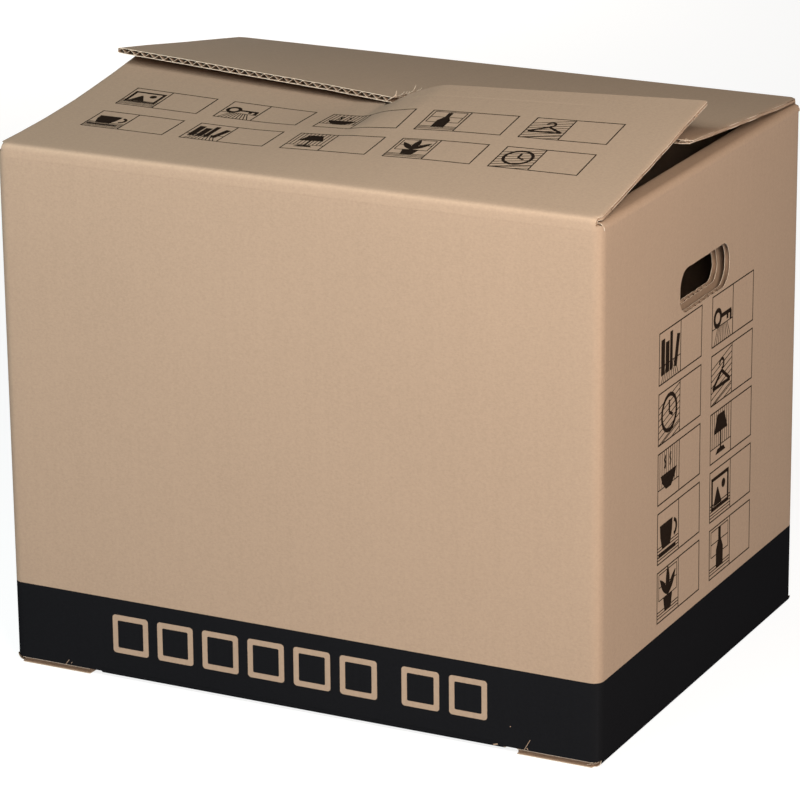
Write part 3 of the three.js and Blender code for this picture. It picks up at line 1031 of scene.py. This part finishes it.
def label_field(corner, size, picture_share, number, place):
    """One ruled field: its frame, the line between sign and blank half, a lined ground and a sign on it.

    Grounds are drawn in shares of the sign's half, and a sign in six tenths of its shorter side.
    """
    corner, size = np.array(corner), np.array(size)
    part = np.array([size[0] * picture_share, size[1]])
    lines = frame_lines(corner, corner + size, line_width)
    lines.append((corner + [part[0], 0], corner + part))
    shells = [ribbon_shell(*stroke(line, line_width, ribbon_step), place) for line in lines]
    for line in grounds[number % len(grounds)]:
        ends = corner + np.array(line) * part
        spine, half = stroke(ends, 0.8 * line_width, ribbon_step)
        shells.append(ribbon_shell(spine, half, place, height=0.7 * ink_height))
    scale = 0.6 * min(part)
    centre = corner + part * [0.5, 0.52]
    for spine, half in signs[number % len(signs)]:
        shells.append(ribbon_shell(centre + scale * spine, scale * half, place, height=1.3 * ink_height))
    return shells


flap_rows = (0.058, 0.107)
flap_left, flap_pitch = 0.0358, 0.0795
flap_field = (0.0655, 0.0325)
side_columns = (0.0975, 0.191)
side_high, side_pitch = 0.2445, 0.0433
side_field = (0.0745, 0.0370)
field_shells = []
for row, low in enumerate(flap_rows):
    for column in range(5):
        corner = (flap_left + flap_pitch * column - length / 2, low)
        field_shells += label_field(corner, flap_field, 0.45, 5 * row + column, front_flap_place)
for side in (-1, 1):
    for column, left in enumerate(side_columns):
        for row in range(5):
            corner = (left - width / 2, side_high - side_pitch * row)
            number = 5 * column + 3 * row + 1
            field_shells += label_field(corner, side_field, 0.5, number, side_wall_place(side))
board_piece("label_fields", field_shells, print_finishes, replaces=False)


def rounded_field(left, wide, low, high, radius, place, finish, height):
    """A filled rounded rectangle: near both its ends, its half height follows a quarter circle."""
    turn = np.linspace(0.15, np.pi / 2, 6)
    near_end = radius * (1 - np.cos(turn))
    fall = radius * (1 - np.sin(turn))
    along = np.concatenate([near_end, wide - near_end[::-1]])
    half = (high - low) / 2 - np.concatenate([fall, fall[::-1]])
    spine = np.stack([left + along, 0 * along + (low + high) / 2], axis=-1)
    return ribbon_shell(spine, half, place, finish, height)


box_pitch = 0.0365
box_gap = 0.0115
box_size = 0.029
box_line = 0.0042
box_foot = 0.021
first_box = 0.083
band_boxes = []
for side in (-1, 1):
    place = long_wall_place(side)
    for number in range(8):
        left = first_box - length / 2 + number * box_pitch + (box_gap if number > 5 else 0)
        whole = (left, box_size, box_foot, box_foot + box_size)
        band_boxes.append(rounded_field(*whole, 0.0025, place, OUTER, 0.6 * ink_height))
        inner_size = box_size - 2 * box_line
        inner_foot = box_foot + box_line
        inside = (left + box_line, inner_size, inner_foot, inner_foot + inner_size)
        band_boxes.append(rounded_field(*inside, 0.001, place, INK, 1.2 * ink_height))
board_piece("band_boxes", band_boxes, board_finishes, replaces=False)


# Wear. Torn fibres at the slit, at the rear flap's crushed corner and along cut edges, nicks in the black
# band, and the cut edge of the glued joint at the rear left corner.
def torn_fibre(root, out, up, long, wide, seed):
    """A paper shred: it leaves its root outwards, curls up as the square of its length, and narrows."""
    t = np.linspace(0, 1, 7)
    out, up = np.array(out, float), np.array(up, float)
    out /= np.linalg.norm(out)
    across = np.cross(out, up)
    across /= np.linalg.norm(across)
    spine = np.array(root) + long * (t[:, None] * out + (0.6 * t**2)[:, None] * up)
    spine = spine + across * (0.25 * wide * uneven(7, seed))[:, None]
    half = wide / 2 * (1.05 - t**1.5) * (1 + 0.4 * uneven(7, seed + 50))
    rise = np.cross(across, out)
    thick = 0.00022
    corners = [spine - across * half[:, None], spine + across * half[:, None]]
    section = [corners[0] - rise * thick / 2, corners[0] + rise * thick / 2]
    section += [corners[1] + rise * thick / 2, corners[1] - rise * thick / 2]
    return bar_shell(np.stack(section), np.stack([spine[:, 0], spine[:, 2]], axis=-1), CUT)


def shreds(side, flap, places_across, shares, out, long, wide, seed, layer):
    """Shreds at these places of a flap, out of its upper part (layer 1) or its lower part (layer -1).

    Each leaves its root along out, turned at random by up to half and a little towards the printed side.
    Its size is half to the whole of the given length and width.
    """
    random = np.random.default_rng(seed)
    places, normals = flap_surface(side, np.array(places_across), np.array(shares), flap)
    shells = []
    for k, (place, normal) in enumerate(zip(places, normals)):
        heading = np.array(out) + 0.5 * random.uniform(-1, 1, 3) + 0.25 * normal
        root = place + normal * (board / 2 - 0.0004) * layer * random.uniform(0.3, 1.0)
        size = random.uniform(0.5, 1.0)
        root = root - 0.001 * np.array(out)
        shells.append(torn_fibre(root, heading, normal, long * size, wide * size, seed + k))
    return shells


slit_shares = np.linspace(0.88, 0.995, 11)
slit_side = np.linspace(-0.0036, -0.0052, 11)
crushed_corner = np.linspace(0.2215, 0.2285, 6)
frayed = np.linspace(0.3, 0.97, 34)
torn = np.array([0.47, 0.49, 0.51, 0.53, 0.61, 0.63, 0.65, 0.8, 0.9])
# Each row: the flap's side and flap, places across and shares along it, heading, length, width, seed, layer.
torn_places = [
    (1, rear_flap, slit_side, slit_shares, (1, -0.2, 0), 0.005, 0.003, 21, 1),
    (1, rear_flap, slit_side[:8], slit_shares[:8], (1, 0.3, 0), 0.004, 0.002, 33, -1),
    (1, rear_flap, crushed_corner, np.full(6, 0.985), (0.4, -1, 0), 0.0035, 0.003, 45, -1),
    (1, rear_flap, np.full(34, 0.2276), frayed, (1, 0, -0.4), 0.002, 0.004, 57, -1),
    (-1, front_flap, np.full(9, 0.2283), torn, (1, 0.2, -0.5), 0.0024, 0.0035, 69, -1),
]
wear_shells = []
for torn_place in torn_places:
    wear_shells += shreds(*torn_place)
corner_foot = np.array([length / 2 - 0.010, -width / 2 + 0.003, 0.0012])
for number in range(4):
    root = corner_foot + np.array([0.0018, 0.0004, 0.0004]) * number
    wear_shells.append(torn_fibre(root, (1, -0.3, 0.1), (0, 0, 1), 0.003, 0.0015, 81 + number))
front_face = long_wall_place(-1)
nicks = [
    ([(-0.189, 0.0045), (-0.186, 0.0085)], 0.0004),
    ([(-0.1845, 0.006), (-0.1835, 0.007)], 0.0004),
    ([(0.152, 0.0042), (0.1555, 0.0052)], 0.0009),
    ([(0.1648, 0.0195), (0.1655, 0.0202)], 0.0005),
    ([(0.1755, 0.0045), (0.1800, 0.0125)], 0.0004),
    ([(0.1775, 0.0062), (0.1782, 0.0050)], 0.0006),
]
for line, wide in nicks:
    wear_shells.append(ribbon_shell(*stroke(line, wide, 0.001), front_face, INNER, 0.0001))
seam_place = long_wall_place(1)
seam_along = length / 2 - corner_radius + 0.0005
seam = [(seam_along, wall_foot + 0.001), (seam_along, wall_top - 0.001)]
wear_shells.append(ribbon_shell(*stroke(seam, 0.0006, 0.01), seam_place, INNER, 0.00012))
board_piece("wear", wear_shells, board_finishes, replaces=False)


# Floor and light: a pale floor that glows a little like a lit table, a warm key light from the front right
# and a cool one from the front left, both above the box, and a low warm fill behind it.
floor_reach = 7.0
floor_corners = [(x * floor_reach, y * floor_reach, 0) for x, y in ((-1, -1), (1, -1), (1, 1), (-1, 1))]
floor_mesh = bpy.data.meshes.new("floor")
floor_mesh.from_pydata(floor_corners, [], [(0, 1, 2, 3)])
floor = bpy.data.objects.new("floor", floor_mesh)
bpy.context.scene.collection.objects.link(floor)
floor_finish = bpy.data.materials.new("floor")
floor_finish.use_nodes = True
floor_shader = floor_finish.node_tree.nodes["Principled BSDF"]
floor_shader.inputs["Base Color"].default_value = (0.22, 0.22, 0.22, 1)
floor_shader.inputs["Roughness"].default_value = 1.0
floor_shader.inputs["Specular IOR Level"].default_value = 0.0
floor_shader.inputs["Emission Color"].default_value = (1, 1, 1, 1)
floor_shader.inputs["Emission Strength"].default_value = 0.86
floor_mesh.materials.append(floor_finish)


light_aim = Vector((0, 0, 0.2))


def soft_light(name, place, size, power, colour):
    """A square area light at a place, turned to the middle of the box."""
    data = bpy.data.lights.new(name, "AREA")
    data.size = size
    data.energy = power
    data.color = colour
    light = bpy.data.objects.new(name, data)
    bpy.context.scene.collection.objects.link(light)
    light.location = place
    light.rotation_euler = (light_aim - Vector(place)).to_track_quat("-Z", "Y").to_euler()
    light.visible_camera = False


soft_light("key_right", (0.98, -0.98, 1.0), 0.8, 28.4, (1.0, 0.905, 0.80))
soft_light("key_left", (-0.29, -1.09, 1.33), 0.8, 20.2, (0.80, 0.965, 1.0))
soft_light("fill_behind", (-1.5, 1.9, 0.06), 1.0, 34, (1.0, 0.89, 0.76))

world = bpy.data.worlds.new("world")
world.use_nodes = True
world.node_tree.nodes["Background"].inputs["Color"].default_value = (1, 1, 1, 1)
world.node_tree.nodes["Background"].inputs["Strength"].default_value = 0.0
bpy.context.scene.world = world
bpy.context.scene.view_settings.view_transform = "Standard"
